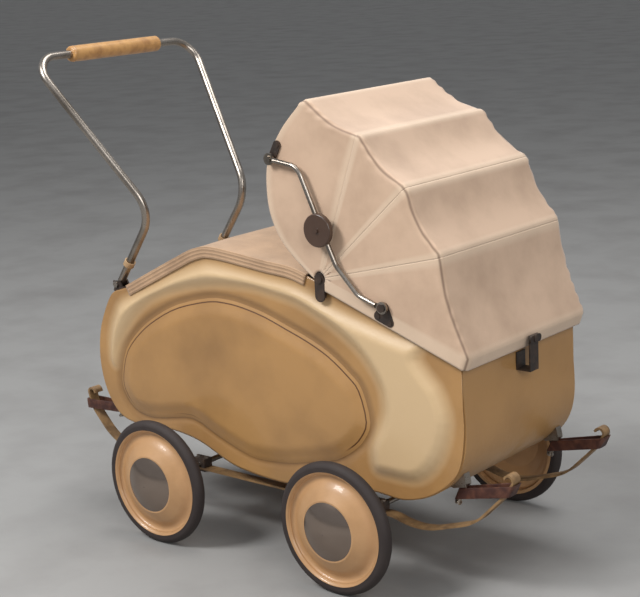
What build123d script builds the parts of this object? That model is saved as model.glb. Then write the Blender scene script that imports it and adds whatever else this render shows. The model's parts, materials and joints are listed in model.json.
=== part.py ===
from build123d import *
import os
from math import atan2, cos, degrees, hypot, radians, sin

# A coach-built doll's pram: a moulded body hung by leather straps from two long
# flat springs, four disc wheels, a folding hood on five bows and a fixed push handle.
#
# Frame: +X points to the hood end, +Z up, the floor is Z = 0, Y = 0 is the plane of
# symmetry. All sizes are in millimetres. "right" is the -Y side, "left" the +Y side.

# ---------------------------------------------------------------- driving sizes
WHEELBASE = 327.0
MID_AXLE_X = 15.5
WHEEL_TRACK = 406.6
TYRE_RADIUS = 90.0
TYRE_WIDTH = 17.0
RIM_RADIUS = 77.3
CAP_RADIUS = 39.5
CAP_DOME = 10.5
AXLE_DIAMETER = 8.0
AXLE_FIT = 0.05
HUB_WALL = 4.0
WHEEL_SHEET = 1.2

SPRING_GAUGE = 220.0
SPRING_WIDTH = 16.0
SPRING_THICKNESS = 3.0

BODY_LENGTH = 666.0
BODY_HEIGHT = 320.0
BODY_WIDTH = 264.0
BODY_REAR_X = -326.5
BODY_AXLE_GAP = 7.0
WRAP_THICKNESS = 3.0
PANEL_THICKNESS = 2.5
CREAM_RELIEF = 9.0
KIDNEY_RELIEF = 8.0

APRON_THICKNESS = 2.0
APRON_HEM = 16.0
CLOTH_CLEARANCE = 0.3

PIVOT_X = 118.5
PIVOT_RISE = 300.0
PIVOT_DIAMETER = 6.0
BOW_WIDTH = 8.0
BOW_THICKNESS = 2.0
BOW_GAP = 0.2
HOOD_CLOTH = 1.5
BOW_RADII = {"front_bow": 231.0, "bow_2": 201.5, "bow_3": 189.8, "bow_4": 195.5, "base_bow": 241.0}
BOW_ANGLES = {"front_bow": 93.5, "bow_2": 69.7, "bow_3": 42.0, "bow_4": 13.5, "base_bow": -19.6}

STAY_DIAMETER = 7.0
STAY_EYE_RADIUS = 8.0
STAY_PLANE_GAP = 9.0
KNUCKLE_RADIUS = 22.0
KNUCKLE_THICKNESS = 7.0

HANDLE_HEIGHT = 679.0
HANDLE_X = -387.5
HANDLE_TOP_SPREAD = 334.0
HANDLE_FOOT_SPREAD = 204.0
TUBE_DIAMETER = 12.0
GRIP_DIAMETER = 24.0
GRIP_LENGTH = 180.0

FLOOR_BOARD_THICKNESS = 4.0
FLOOR_BOARD_RISE = 62.0

# ---------------------------------------------------------------- sizes that follow
AXLE_Z = TYRE_RADIUS
AXLE_X = {"front": MID_AXLE_X + WHEELBASE / 2, "rear": MID_AXLE_X - WHEELBASE / 2}
WHEEL_Y = WHEEL_TRACK / 2
SPRING_Y = SPRING_GAUGE / 2
SPRING_Z = AXLE_Z - AXLE_DIAMETER / 2 - SPRING_THICKNESS / 2
BODY_BOTTOM = AXLE_Z + AXLE_DIAMETER / 2 + BODY_AXLE_GAP
BODY_Y = BODY_WIDTH / 2
PANEL_Y = BODY_Y - PANEL_THICKNESS
SIDES = {"right": -1, "left": 1}
ENDS = {"front": 1, "rear": -1}

os.makedirs("parts", exist_ok=True)


def save(part, name):
    """Label a finished piece and write it to its own file."""
    part.label = name
    export_step(part, f"parts/{name}.step")


def save_pair(part, name):
    """Write the right-hand piece and its mirror image on the left."""
    save(part, f"{name}_right")
    save(mirror(part, about=Plane.XZ), f"{name}_left")


def save_both(part, name):
    """Write the right-hand piece and its mirror image together, as one file."""
    with BuildPart() as both:
        add(part)
        add(mirror(part, about=Plane.XZ))
    save(both.part, name)


def body_point(along, up):
    """A point of the body's side view, from shares of the body's length and height."""
    return (BODY_REAR_X + along * BODY_LENGTH, BODY_BOTTOM + up * BODY_HEIGHT)


def body_points(shares):
    """A list of side-view points from a list of shares."""
    return [body_point(along, up) for along, up in shares]


def side_plane(y):
    """The side-view plane that lies at Y = -y and faces outwards on the right."""
    return Plane.XZ.offset(y)


# ---------------------------------------------------------------- body outline
REAR_TOP = (0.092, 0.756)
PEAK = (0.377, 1.0)
FRONT_TOP = (0.995, 0.672)
UNDERSIDE = [REAR_TOP, (0.054, 0.725), (0.0195, 0.606), (0.003, 0.497), (0.0, 0.369),
             (0.015, 0.247), (0.045, 0.159), (0.086, 0.122), (0.155, 0.118), (0.222, 0.125),
             (0.300, 0.100), (0.387, 0.031), (0.449, 0.009), (0.511, 0.0), (0.553, 0.003),
             (0.640, 0.040), (0.715, 0.066), (0.790, 0.058), (0.850, 0.053), (0.910, 0.091),
             (0.962, 0.170), (0.987, 0.253), (0.997, 0.406), (0.992, 0.572), FRONT_TOP]
TOP_FRONT = [FRONT_TOP, (0.960, 0.691), (0.902, 0.728), (0.839, 0.791), (0.698, 0.881),
             (0.600, 0.953), (0.515, 0.972), PEAK]
TOP_REAR = [PEAK, (0.320, 0.984), (0.260, 0.928), (0.192, 0.859), REAR_TOP]
KIDNEY = [(0.351, 0.775), (0.260, 0.725), (0.191, 0.656), (0.134, 0.575), (0.086, 0.469),
          (0.066, 0.347), (0.069, 0.266), (0.099, 0.191), (0.147, 0.166), (0.201, 0.178),
          (0.282, 0.203), (0.357, 0.144), (0.443, 0.088), (0.497, 0.084), (0.557, 0.097),
          (0.623, 0.128), (0.682, 0.159), (0.727, 0.216), (0.755, 0.272), (0.772, 0.353),
          (0.755, 0.487), (0.725, 0.550), (0.677, 0.619), (0.623, 0.669), (0.566, 0.709),
          (0.509, 0.747), (0.450, 0.772), (0.402, 0.781)]
CREAM = [(0.838, 0.744), (0.901, 0.719), (0.900, 0.660), (0.928, 0.594), (0.950, 0.541),
         (0.968, 0.419), (0.944, 0.259), (0.892, 0.153), (0.824, 0.141), (0.780, 0.155),
         (0.777, 0.263), (0.802, 0.372), (0.808, 0.441), (0.799, 0.528), (0.760, 0.634),
         (0.707, 0.713), (0.653, 0.769), (0.599, 0.813), (0.542, 0.834), (0.483, 0.850),
         (0.423, 0.850), (0.360, 0.838), (0.296, 0.813), (0.230, 0.772), (0.174, 0.722),
         (0.131, 0.656), (0.092, 0.563), (0.066, 0.475), (0.050, 0.384), (0.038, 0.400),
         (0.036, 0.444), (0.041, 0.531), (0.060, 0.628), (0.090, 0.700), (0.192, 0.795),
         (0.260, 0.862), (0.330, 0.915), (0.377, 0.928), (0.515, 0.900), (0.600, 0.880),
         (0.700, 0.815)]

with BuildLine() as underside:
    Spline(*body_points(UNDERSIDE))
with BuildLine() as top_front:
    Spline(*body_points(TOP_FRONT))
with BuildLine() as top_rear:
    Spline(*body_points(TOP_REAR))
with BuildLine() as kidney_curve:
    Spline(*body_points(KIDNEY), periodic=True)

CURVE_STEPS = 36


def beside(curve, inwards, start=0.0, end=1.0):
    """Points along a curve of the outline, moved inwards by a distance."""
    places = [start + (end - start) * step / CURVE_STEPS for step in range(CURVE_STEPS + 1)]
    moved = []
    for place in places:
        point = curve.line @ place
        tangent = curve.line % place
        moved.append((point.X - tangent.Y * inwards, point.Y + tangent.X * inwards))
    return moved


def band(curve, near, far, start=0.0, end=1.0):
    """The strip between two distances inwards of a curve."""
    near_points = beside(curve, near, start, end)
    far_points = beside(curve, far, start, end)
    with BuildSketch() as strip:
        with BuildLine():
            Spline(*near_points)
            Spline(*far_points)
            Line(near_points[0], far_points[0])
            Line(near_points[-1], far_points[-1])
        make_face()
    return strip.sketch_local


with BuildSketch(Plane.XZ) as body_outline:
    with BuildLine():
        add(underside.line)
        add(top_front.line)
        add(top_rear.line)
    make_face()

with BuildSketch(Plane.XZ) as cabin_outline:
    with BuildLine():
        inner_points = beside(underside, WRAP_THICKNESS)
        Spline(*inner_points)
        Line(inner_points[-1], inner_points[0])
    make_face()

with BuildSketch(Plane.XZ) as kidney_outline:
    with BuildLine():
        add(kidney_curve.line)
    make_face()

with BuildSketch(Plane.XZ) as kidney_hollow:
    with BuildLine():
        Spline(*beside(kidney_curve, PANEL_THICKNESS)[:-1], periodic=True)
    make_face()

with BuildSketch(Plane.XZ) as cream_outline:
    with BuildLine():
        Polyline(*body_points(CREAM), close=True)
    make_face()

with BuildSketch(Plane.XZ) as cream_hollow:
    add(cream_outline.sketch_local)
    offset(amount=-PANEL_THICKNESS)

# ---------------------------------------------------------------- hood geometry
HOOD_PIVOT = (PIVOT_X, BODY_BOTTOM + PIVOT_RISE)
RIVET_DIAMETER = 3.0
RIVET_RADII = (85.0, 130.0, 222.0)
RIVET_ASIDE = -10.0


def polar(radius, angle, aside=0.0):
    """A side-view point at a distance from the hood pivot, shifted sideways off its ray."""
    ray = radians(angle)
    return (HOOD_PIVOT[0] + radius * cos(ray) - aside * sin(ray),
            HOOD_PIVOT[1] + radius * sin(ray) + aside * cos(ray))


rivet_places = [polar(radius, BOW_ANGLES["base_bow"], RIVET_ASIDE) for radius in RIVET_RADII]

# ---------------------------------------------------------------- body shell
with BuildPart() as side_panel:
    with BuildSketch(side_plane(PANEL_Y)):
        add(body_outline.sketch_local)
    extrude(amount=PANEL_THICKNESS)
    for outline, relief in ((cream_outline, CREAM_RELIEF), (kidney_outline, KIDNEY_RELIEF)):
        with BuildSketch(side_plane(BODY_Y)):
            add(outline.sketch_local)
        extrude(amount=relief)
    for hollow, relief in ((cream_hollow, CREAM_RELIEF), (kidney_hollow, KIDNEY_RELIEF)):
        with BuildSketch(side_plane(PANEL_Y)):
            add(hollow.sketch_local)
        extrude(amount=relief, mode=Mode.SUBTRACT)
    with BuildSketch(side_plane(PANEL_Y)):
        with Locations(*rivet_places):
            Circle(RIVET_DIAMETER / 2)
    extrude(amount=PANEL_THICKNESS, mode=Mode.SUBTRACT)
save_pair(side_panel.part, "side_panel")

with BuildPart() as body_wrap:
    with BuildSketch(side_plane(-PANEL_Y)):
        with BuildLine():
            add(underside.line)
            Spline(*inner_points)
            Line(underside.line @ 0, inner_points[0])
            Line(underside.line @ 1, inner_points[-1])
        make_face()
    extrude(amount=2 * PANEL_Y)
save(body_wrap.part, "body_wrap")

FLOOR_Z = BODY_BOTTOM + FLOOR_BOARD_RISE
BEARER_WIDTH = 18.0
BEARER_AT = (0.22, 0.80)
FLOOR_REAR_X = body_point(0.06, 0)[0]
FLOOR_FRONT_X = body_point(0.93, 0)[0]
FLOOR_SIDE_GAP = 1.0
FLOOR_Y = PANEL_Y - FLOOR_SIDE_GAP

with BuildPart() as floor_bearers:
    with BuildSketch(side_plane(-FLOOR_Y)):
        for along in BEARER_AT:
            x, z = body_point(along, 0)
            with Locations((x, (z + FLOOR_Z) / 2)):
                Rectangle(BEARER_WIDTH, FLOOR_Z - z)
        add(cabin_outline.sketch_local, mode=Mode.INTERSECT)
    extrude(amount=2 * FLOOR_Y)
save(floor_bearers.part, "floor_bearers")

with BuildPart() as floor_board:
    with BuildSketch(Plane.XY.offset(FLOOR_Z)):
        with Locations(((FLOOR_REAR_X + FLOOR_FRONT_X) / 2, 0)):
            RectangleRounded(FLOOR_FRONT_X - FLOOR_REAR_X, 2 * FLOOR_Y, 12)
    extrude(amount=FLOOR_BOARD_THICKNESS)
save(floor_board.part, "floor_board")

# ---------------------------------------------------------------- apron over the rear of the body
APRON_FROM = 0.60
APRON_TO = 0.97
APRON_OUT = CLOTH_CLEARANCE + APRON_THICKNESS
APRON_Y = BODY_Y + APRON_OUT
ridge = [beside(top_front, -out)[-1] for out in (CLOTH_CLEARANCE, APRON_OUT)]
ridge += [beside(top_rear, -out)[0] for out in (APRON_OUT, CLOTH_CLEARANCE)]

with BuildPart() as apron:
    with BuildSketch(side_plane(-APRON_Y)):
        add(band(top_front, -APRON_OUT, -CLOTH_CLEARANCE, start=APRON_FROM))
        add(band(top_rear, -APRON_OUT, -CLOTH_CLEARANCE, end=APRON_TO))
        with BuildLine():
            Polyline(*ridge, close=True)
        make_face()
    extrude(amount=2 * APRON_Y)
    for hem_y in (BODY_Y + CLOTH_CLEARANCE, -APRON_Y):
        with BuildSketch(side_plane(hem_y)):
            add(band(top_front, -APRON_OUT, APRON_HEM, start=APRON_FROM))
            add(band(top_rear, -APRON_OUT, APRON_HEM, end=APRON_TO))
        extrude(amount=APRON_THICKNESS)
save(apron.part, "apron")

APRON_BOW_DIAMETER = 5.0
peak_x, peak_z = body_point(*PEAK)
with BuildPart() as apron_bow:
    with BuildSketch(side_plane(-PANEL_Y)):
        with Locations((peak_x, peak_z - APRON_BOW_DIAMETER)):
            Circle(APRON_BOW_DIAMETER / 2)
    extrude(amount=2 * PANEL_Y)
save(apron_bow.part, "apron_bow")

# ---------------------------------------------------------------- push handle
HANDLE_RUN_SLOPE = 0.724
HANDLE_ELBOW_Z = 455.0
HANDLE_FOOT_SLOPE = 0.688
HANDLE_FOOT_Z = 330.0
HANDLE_ELBOW_RADIUS = 50.0
HANDLE_CORNER_RADIUS = 35.0
HANDLE_BOLT_DIAMETER = 5.0
BRACKET_THICKNESS = 2.5
BRACKET_WIDTH = 34.0
BRACKET_FROM = 0.012
BRACKET_TO = 0.055

elbow_x = HANDLE_X + HANDLE_RUN_SLOPE * (HANDLE_HEIGHT - HANDLE_ELBOW_Z)
foot_x = elbow_x - HANDLE_FOOT_SLOPE * (HANDLE_ELBOW_Z - HANDLE_FOOT_Z)
foot_y = HANDLE_FOOT_SPREAD / 2
top_y = HANDLE_TOP_SPREAD / 2
handle_route = [(foot_x, -foot_y, HANDLE_FOOT_Z), (elbow_x, -foot_y, HANDLE_ELBOW_Z),
                (HANDLE_X, -top_y, HANDLE_HEIGHT), (HANDLE_X, top_y, HANDLE_HEIGHT),
                (elbow_x, foot_y, HANDLE_ELBOW_Z), (foot_x, foot_y, HANDLE_FOOT_Z)]
handle_radii = [HANDLE_ELBOW_RADIUS, HANDLE_CORNER_RADIUS, HANDLE_CORNER_RADIUS, HANDLE_ELBOW_RADIUS]
foot_rise = HANDLE_FOOT_Z + TUBE_DIAMETER
foot_bolt = (foot_x + HANDLE_FOOT_SLOPE * TUBE_DIAMETER, foot_rise)

with BuildPart() as handle_tube:
    with BuildLine() as handle_path:
        FilletPolyline(*handle_route, radius=handle_radii)
    with BuildSketch(Plane(origin=handle_path.line @ 0, z_dir=handle_path.line % 0)):
        Circle(TUBE_DIAMETER / 2)
    sweep(path=handle_path.wires()[0])
    with Locations(Plane(origin=(foot_bolt[0], 0, foot_bolt[1]), z_dir=(0, 1, 0))):
        Cylinder(HANDLE_BOLT_DIAMETER / 2 + CLOTH_CLEARANCE, 2 * top_y, mode=Mode.SUBTRACT)
save(handle_tube.part, "handle_tube")

with BuildPart() as handle_grip:
    with BuildSketch(Plane(origin=(HANDLE_X, 0, HANDLE_HEIGHT), z_dir=(0, 1, 0))):
        Circle(GRIP_DIAMETER / 2)
        Circle(TUBE_DIAMETER / 2, mode=Mode.SUBTRACT)
    extrude(amount=GRIP_LENGTH / 2, both=True)
    fillet(handle_grip.edges().filter_by(GeomType.CIRCLE).sort_by(SortBy.RADIUS)[-2:], 4)
save(handle_grip.part, "handle_grip")

with BuildPart() as handle_brackets:
    for side in SIDES.values():
        middle = -side * foot_y
        plate_from = middle - BRACKET_WIDTH / 2
        with BuildSketch(side_plane(plate_from)):
            add(band(underside, -BRACKET_THICKNESS, 2, start=BRACKET_FROM, end=BRACKET_TO))
            add(body_outline.sketch_local, mode=Mode.SUBTRACT)
        extrude(amount=BRACKET_WIDTH)
        for lug in (middle + TUBE_DIAMETER / 2, middle - TUBE_DIAMETER / 2 - BRACKET_THICKNESS):
            with BuildSketch(side_plane(lug)):
                with BuildLine():
                    Polyline((foot_bolt[0] - 7, foot_rise + 5), (foot_bolt[0] + 7, foot_rise + 5),
                             (foot_bolt[0] + 22, foot_rise - 22), (foot_bolt[0] + 22, foot_rise - 40),
                             (foot_bolt[0] - 2, foot_rise - 36), close=True)
                make_face()
                add(body_outline.sketch_local, mode=Mode.SUBTRACT)
                with Locations(foot_bolt):
                    Circle(HANDLE_BOLT_DIAMETER / 2, mode=Mode.SUBTRACT)
            extrude(amount=BRACKET_THICKNESS)
save(handle_brackets.part, "handle_brackets")

BOLT_HEAD_HEIGHT = 3.0
with BuildPart() as handle_bolts:
    for side in SIDES.values():
        middle = -side * foot_y
        shank = TUBE_DIAMETER / 2 + BRACKET_THICKNESS
        with BuildSketch(side_plane(middle - shank)):
            with Locations(foot_bolt):
                Circle(HANDLE_BOLT_DIAMETER / 2)
        extrude(amount=2 * shank)
        for head in (middle + shank, middle - shank - BOLT_HEAD_HEIGHT):
            with BuildSketch(side_plane(head)):
                with Locations(foot_bolt):
                    RegularPolygon(HANDLE_BOLT_DIAMETER, 6)
            extrude(amount=BOLT_HEAD_HEIGHT)
save(handle_bolts.part, "handle_bolts")

# ---------------------------------------------------------------- running gear
COLLAR_WIDTH = 5.0
NUT_THICKNESS = 4.5
WASHER_THICKNESS = 1.0
END_PLAY = 0.3
HUB_RADIUS = AXLE_DIAMETER / 2 + HUB_WALL
HUB_INNER_END = -12.0
DISC_FACE = 16.2
axle_half = WHEEL_Y + DISC_FACE + END_PLAY + WASHER_THICKNESS + NUT_THICKNESS

for end, x in AXLE_X.items():
    with BuildPart() as axle:
        with BuildSketch(Plane.XZ):
            with Locations((x, AXLE_Z)):
                Circle(AXLE_DIAMETER / 2)
        extrude(amount=axle_half, both=True)
    save(axle.part, f"axle_{end}")

with BuildPart() as axle_collars:
    for x in AXLE_X.values():
        for near in (WHEEL_Y + HUB_INNER_END - END_PLAY - COLLAR_WIDTH, -WHEEL_Y - HUB_INNER_END + END_PLAY):
            with BuildSketch(side_plane(near)):
                with Locations((x, AXLE_Z)):
                    Circle(HUB_RADIUS)
                    Circle(AXLE_DIAMETER / 2, mode=Mode.SUBTRACT)
            extrude(amount=COLLAR_WIDTH)
save(axle_collars.part, "axle_collars")

with BuildPart() as axle_nuts:
    washer_at = WHEEL_Y + DISC_FACE + END_PLAY
    for x in AXLE_X.values():
        for sign in SIDES.values():
            nut_at = washer_at + WASHER_THICKNESS
            with BuildSketch(side_plane(sign * washer_at - (WASHER_THICKNESS if sign < 0 else 0))):
                with Locations((x, AXLE_Z)):
                    Circle(AXLE_DIAMETER)
                    Circle(AXLE_DIAMETER / 2, mode=Mode.SUBTRACT)
            extrude(amount=WASHER_THICKNESS)
            with BuildSketch(side_plane(sign * nut_at - (NUT_THICKNESS if sign < 0 else 0))):
                with Locations((x, AXLE_Z)):
                    RegularPolygon(AXLE_DIAMETER * 0.86, 6)
                    Circle(AXLE_DIAMETER / 2, mode=Mode.SUBTRACT)
            extrude(amount=NUT_THICKNESS)
save(axle_nuts.part, "axle_nuts")

# the wheel is turned about its own axle: the profile's X is the radius, its Y is the
# distance outwards from the wheel's middle plane
LIP = TYRE_WIDTH / 2
SEAT_RADIUS = RIM_RADIUS - 2.3
disc_outer = [(RIM_RADIUS, LIP), (RIM_RADIUS - 2.5, LIP - 2.0), (RIM_RADIUS - 6.3, LIP - 7.0),
              (RIM_RADIUS - 11, LIP - 7.2), (RIM_RADIUS - 19, LIP - 2.0), (CAP_RADIUS + 10, LIP + 3.2),
              (CAP_RADIUS + 2, DISC_FACE)]


def wheel_plane(x, side):
    """The turning profile's plane: X' is the radius and Y' points out of the wheel."""
    return Plane(origin=(x, side * WHEEL_Y, AXLE_Z), x_dir=(1, 0, 0), z_dir=(0, 0, side))


CAP_SHEET = 1.0
DOME_RADIUS = (CAP_RADIUS ** 2 + CAP_DOME ** 2) / (2 * CAP_DOME)
dome_drop = DOME_RADIUS - CAP_DOME
cap_inner_radius = ((DOME_RADIUS - CAP_SHEET) ** 2 - dome_drop ** 2) ** 0.5


def dome_point(radius):
    """A point half way out on a hub cap's dome, whose centre lies on the axle."""
    return (CAP_RADIUS / 2, DISC_FACE - dome_drop + (radius ** 2 - CAP_RADIUS ** 2 / 4) ** 0.5)


for end, x in AXLE_X.items():
    for side_name, side in SIDES.items():
        spin_axis = Axis((x, 0, AXLE_Z), (0, 1, 0))
        with BuildPart() as wheel_disc:
            with BuildSketch(wheel_plane(x, side)):
                with BuildLine():
                    face_line = Spline(*disc_outer)
                    back_line = Spline(*[(r, w - WHEEL_SHEET) for r, w in disc_outer])
                    Line(face_line @ 0, back_line @ 0)
                    Line(face_line @ 1, back_line @ 1)
                make_face()
                with BuildLine():
                    Polyline((CAP_RADIUS + 2, DISC_FACE), (CAP_RADIUS + 2, DISC_FACE - WHEEL_SHEET),
                             (HUB_RADIUS, DISC_FACE - WHEEL_SHEET), (HUB_RADIUS, HUB_INNER_END),
                             (AXLE_DIAMETER / 2 + AXLE_FIT, HUB_INNER_END),
                             (AXLE_DIAMETER / 2 + AXLE_FIT, DISC_FACE), close=True)
                make_face()
                with BuildLine():
                    Polyline((SEAT_RADIUS, LIP - 3.5), (SEAT_RADIUS, -LIP + 1.5), (RIM_RADIUS, -LIP + 1.5),
                             (RIM_RADIUS, -LIP), (SEAT_RADIUS - 2, -LIP), (SEAT_RADIUS - 2, LIP - 3.5),
                             close=True)
                make_face()
            revolve(axis=spin_axis)
        save(wheel_disc.part, f"wheel_disc_{end}_{side_name}")

        with BuildPart() as tyre:
            with BuildSketch(wheel_plane(x, side)):
                with BuildLine():
                    Polyline((SEAT_RADIUS + 0.05, LIP - 4), (SEAT_RADIUS + 0.05, -LIP + 1.6),
                             (RIM_RADIUS + 0.2, -LIP + 1.6), (RIM_RADIUS + 0.2, -LIP),
                             (TYRE_RADIUS - 7, -LIP))
                    ThreePointArc((TYRE_RADIUS - 7, -LIP), (TYRE_RADIUS, 0), (TYRE_RADIUS - 7, LIP))
                    Polyline((TYRE_RADIUS - 7, LIP), (RIM_RADIUS + 0.3, LIP),
                             (RIM_RADIUS + 0.3, LIP - 4), (SEAT_RADIUS + 0.05, LIP - 4))
                make_face()
            revolve(axis=spin_axis)
        save(tyre.part, f"tyre_{end}_{side_name}")

        with BuildPart() as hub_cap:
            with BuildSketch(wheel_plane(x, side)):
                with BuildLine():
                    rim_corner = (CAP_RADIUS, DISC_FACE)
                    crown = (0, DISC_FACE + CAP_DOME)
                    Line((cap_inner_radius, DISC_FACE), rim_corner)
                    ThreePointArc(rim_corner, dome_point(DOME_RADIUS), crown)
                    Line(crown, (0, DISC_FACE + CAP_DOME - CAP_SHEET))
                    ThreePointArc((0, DISC_FACE + CAP_DOME - CAP_SHEET), dome_point(DOME_RADIUS - CAP_SHEET),
                                  (cap_inner_radius, DISC_FACE))
                make_face()
            revolve(axis=spin_axis)
        save(hub_cap.part, f"hub_cap_{end}_{side_name}")

# ---------------------------------------------------------------- springs, clamps and straps
TIP_CURL = 6.5
# heights are counted from the spring's flat middle, lengths from the axle above it
SPRING_FRONT = [(26, 0), (72, -12), (158, 16), (204, 62), (213, 75)]
SPRING_REAR = [(-20, 0), (-66, -12), (-182, 12), (-222, 56), (-227, 73)]
SPRING_BENDS = [60, 110, 80, 40]

front_run = [(AXLE_X["front"] + along, SPRING_Z + up) for along, up in SPRING_FRONT]
rear_run = [(AXLE_X["rear"] + along, SPRING_Z + up) for along, up in SPRING_REAR]


def curled_tip(run, way):
    """The rolled end of a spring: it turns back over towards the body."""
    last = Vector(*run[-1])
    heading = (last - Vector(*run[-2])).normalized()
    across = Vector(-heading.Y, heading.X) * way
    return [tuple(last + heading * 2 * TIP_CURL)[:2],
            tuple(last + heading * 2 * TIP_CURL + across * 2 * TIP_CURL)[:2],
            tuple(last + heading * 0.6 * TIP_CURL + across * 2 * TIP_CURL)[:2]]


rear_route = rear_run[:-1] + curled_tip(rear_run, -1)
front_route = front_run[:-1] + curled_tip(front_run, 1)
tip_bends = [TIP_CURL - 0.1, TIP_CURL - 0.1]
spring_bends = tip_bends[::-1] + SPRING_BENDS[::-1] + SPRING_BENDS + tip_bends

with BuildLine() as spring_line:
    FilletPolyline(*reversed(rear_route), *front_route, radius=spring_bends)

CLAMP_LENGTH = 22.0
CLAMP_TOP = 5.0
CLAMP_BOLT = 4.0
CLAMP_BOLT_OFFSET = 7.5
CLAMP_PLATE = 2.5
clamp_places = [x + step * CLAMP_BOLT_OFFSET for x in AXLE_X.values() for step in (-1, 1)]

with BuildPart() as chassis_spring:
    with BuildSketch(side_plane(SPRING_Y - SPRING_WIDTH / 2)):
        add(spring_line.line)
        trace(line_width=SPRING_THICKNESS)
    extrude(amount=SPRING_WIDTH)
    with BuildSketch(Plane.XY.offset(SPRING_Z - SPRING_THICKNESS)):
        with Locations(*[(x, -SPRING_Y) for x in clamp_places]):
            Circle(CLAMP_BOLT / 2)
    extrude(amount=2 * SPRING_THICKNESS, mode=Mode.SUBTRACT)
save_pair(chassis_spring.part, "chassis_spring")

saddle_base = SPRING_Z + SPRING_THICKNESS / 2
saddle_top = AXLE_Z + AXLE_DIAMETER / 2 + CLAMP_TOP
plate_top = SPRING_Z - SPRING_THICKNESS / 2
with BuildPart() as axle_clamps:
    for x in AXLE_X.values():
        for side in SIDES.values():
            with BuildSketch(side_plane(side * SPRING_Y - SPRING_WIDTH / 2)):
                with Locations((x, (saddle_base + saddle_top) / 2)):
                    Rectangle(CLAMP_LENGTH, saddle_top - saddle_base)
                with Locations((x, AXLE_Z)):
                    Circle(AXLE_DIAMETER / 2, mode=Mode.SUBTRACT)
                with Locations((x, saddle_base)):
                    Rectangle(AXLE_DIAMETER, 2 * (AXLE_Z - saddle_base), mode=Mode.SUBTRACT)
                with Locations((x, plate_top - CLAMP_PLATE / 2)):
                    Rectangle(CLAMP_LENGTH, CLAMP_PLATE)
            extrude(amount=SPRING_WIDTH)
    with BuildSketch(Plane.XY.offset(plate_top - 2 * CLAMP_PLATE)):
        with Locations(*[(x, side * SPRING_Y) for x in clamp_places for side in SIDES.values()]):
            Circle(CLAMP_BOLT / 2)
    extrude(amount=saddle_top - plate_top + 4 * CLAMP_PLATE, mode=Mode.SUBTRACT)
save(axle_clamps.part, "axle_clamps")

CLAMP_HEAD = 2.5
with BuildPart() as clamp_bolts:
    bolt_spots = [(x, side * SPRING_Y) for x in clamp_places for side in SIDES.values()]
    with BuildSketch(Plane.XY.offset(plate_top - CLAMP_PLATE)):
        with Locations(*bolt_spots):
            Circle(CLAMP_BOLT / 2)
    extrude(amount=saddle_top - plate_top + CLAMP_PLATE)
    for level in (plate_top - CLAMP_PLATE - CLAMP_HEAD, saddle_top):
        with BuildSketch(Plane.XY.offset(level)):
            with Locations(*bolt_spots):
                RegularPolygon(CLAMP_BOLT * 0.85, 6)
        extrude(amount=CLAMP_HEAD)
save(clamp_bolts.part, "clamp_bolts")

STRAP_THICKNESS = 2.5
STRAP_WIDTH = 14.0
STRAP_SLOT = SPRING_WIDTH + 2 * CLOTH_CLEARANCE
STRAP_PIN = 6.0
STRAP_SPARE = 10.0
STRAP_BELOW_TIP = 17.0
PIN_OVER = 6.0
PIN_FOOT = 2.0
PIN_REACH = 40.0
STRAP_SEAT = {"front": (0.825, 0.845), "rear": (0.170, 0.195)}
STRAP_LEAN = {"front": Vector(0.42, 0, 0.907).normalized(), "rear": Vector(-0.1, 0, 0.995).normalized()}
LUG_RADIUS = 4.0
LUG_WIDTH = 12.0
pin_foot_places = {"front": body_point(0.958, 0.0875), "rear": body_point(0.018, 0.131)}


def grip_point(run):
    """Where the lower edge of a strap crosses its spring, in the side view."""
    heading = (Vector(*run[-1]) - Vector(*run[-2])).normalized()
    return Vector(*run[-1]) - heading * STRAP_BELOW_TIP


def strap_ring(length, spare):
    """A loop of leather seen from above: narrow round the pin, wide round the spring."""
    with BuildSketch() as ring:
        with BuildSketch(mode=Mode.PRIVATE) as inner:
            with Locations((0, 0)):
                Circle(STRAP_PIN / 2 + STRAP_SPARE / 6)
            with Locations((length, 0)):
                RectangleRounded(SPRING_THICKNESS * 2 + spare, STRAP_SLOT, 2.5)
            make_hull()
        add(inner.sketch)
        offset(amount=STRAP_THICKNESS)
        add(inner.sketch, mode=Mode.SUBTRACT)
    return ring.sketch_local


strap_brackets = []
for end, run in (("front", front_run), ("rear", rear_run)):
    foot = Vector(*pin_foot_places[end])
    reach = grip_point(run) - foot
    slope = reach.normalized()
    lean = STRAP_LEAN[end]
    strap_plane = Plane(origin=(foot.X, -SPRING_Y, foot.Y), x_dir=(slope.X, 0, slope.Y),
                        z_dir=(-slope.Y * ENDS[end], 0, slope.X * ENDS[end]))
    strap_depth = STRAP_WIDTH / lean.dot(strap_plane.z_dir)
    with BuildPart() as strap:
        with BuildSketch(strap_plane):
            add(strap_ring(reach.length, STRAP_SPARE))
        extrude(amount=strap_depth, dir=lean)
    save_pair(strap.part, f"strap_{end}")

    pin_bottom = Vector(foot.X, -SPRING_Y, foot.Y) - lean * PIN_OVER
    pin_top = pin_bottom + lean * (strap_depth + 2 * PIN_OVER)
    seat = beside(underside, 0, *STRAP_SEAT[end])
    with BuildPart() as strap_bracket:
        with BuildSketch(Plane(origin=pin_bottom, x_dir=(0, 1, 0), z_dir=lean)):
            Circle(STRAP_PIN / 2)
        extrude(amount=strap_depth + 2 * PIN_OVER)
        with BuildSketch(Plane(origin=pin_bottom - lean * PIN_FOOT, x_dir=(0, 1, 0), z_dir=lean)):
            Circle(STRAP_PIN * 0.8)
        extrude(amount=PIN_FOOT + 0.5)
        with BuildSketch(side_plane(SPRING_Y - LUG_WIDTH / 2)):
            with BuildSketch(mode=Mode.PRIVATE) as lug:
                with Locations((pin_top.X, pin_top.Z), seat[0], seat[-1]):
                    Circle(LUG_RADIUS)
                make_hull()
            add(lug.sketch)
            add(body_outline.sketch_local, mode=Mode.SUBTRACT)
        extrude(amount=LUG_WIDTH)
    strap_brackets.append(strap_bracket.part)

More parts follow.
